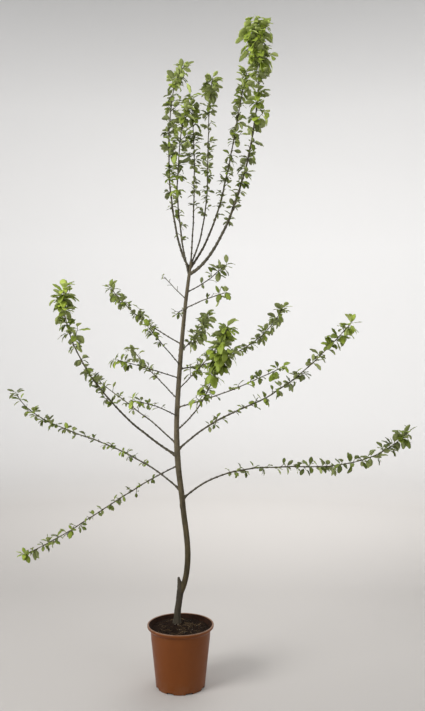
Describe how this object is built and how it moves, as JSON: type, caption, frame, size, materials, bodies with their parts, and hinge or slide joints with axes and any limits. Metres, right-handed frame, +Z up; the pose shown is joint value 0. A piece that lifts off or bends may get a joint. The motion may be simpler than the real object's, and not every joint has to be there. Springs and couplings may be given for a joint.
{
  "type": "potted plum tree",
  "caption": "Young grafted plum tree in leaf, with a slim crooked trunk, long whippy side boughs and upright top shoots, in a tapered plastic nursery pot.",
  "frame": {"origin": "centre of the pot's flat underside, on the pot's axis", "axes": "+Z up the trunk, +X along the long side boughs to the viewer's right, -Y towards the viewer"},
  "size_m": [1.4324, 0.7922, 2.1818],
  "materials": {
    "pot_plastic": "satin",
    "compost": "matte",
    "bark": "matte",
    "foliage": "satin"
  },
  "bodies": {
    "root": {"pot": "pot_plastic", "compost": "compost", "trunk": "bark", "bough_top_right_outer": "bark", "bough_top_right_inner": "bark", "bough_top_middle": "bark", "bough_leader": "bark", "bough_top_left_inner": "bark", "bough_top_left_outer": "bark", "bough_right_1": "bark", "bough_right_2": "bark", "bough_right_3": "bark", "bough_right_4": "bark", "bough_right_5": "bark", "bough_right_6": "bark", "bough_right_7": "bark", "bough_right_8": "bark", "bough_right_9": "bark", "bough_left_3": "bark", "bough_left_4": "bark", "bough_left_5": "bark", "bough_left_6": "bark", "bough_left_7": "bark", "bough_left_8": "bark", "bough_left_9": "bark", "bough_left_10": "bark", "bough_left_11": "bark", "leaves_top_right_outer": "foliage", "leaves_top_right_inner": "foliage", "leaves_top_middle": "foliage", "leaves_leader": "foliage", "leaves_top_left_inner": "foliage", "leaves_top_left_outer": "foliage", "leaves_right_1": "foliage", "leaves_right_2": "foliage", "leaves_right_3": "foliage", "leaves_right_4": "foliage", "leaves_right_5": "foliage", "leaves_right_6": "foliage", "leaves_right_7": "foliage", "leaves_right_8": "foliage", "leaves_right_9": "foliage", "leaves_left_1": "foliage", "leaves_left_2": "foliage", "leaves_left_3": "foliage", "leaves_left_4": "foliage", "leaves_left_5": "foliage", "leaves_left_6": "foliage", "leaves_left_7": "foliage", "leaves_left_8": "foliage", "leaves_left_9": "foliage", "leaves_left_10": "foliage", "leaves_left_11": "foliage"}
  },
  "joints": []
}
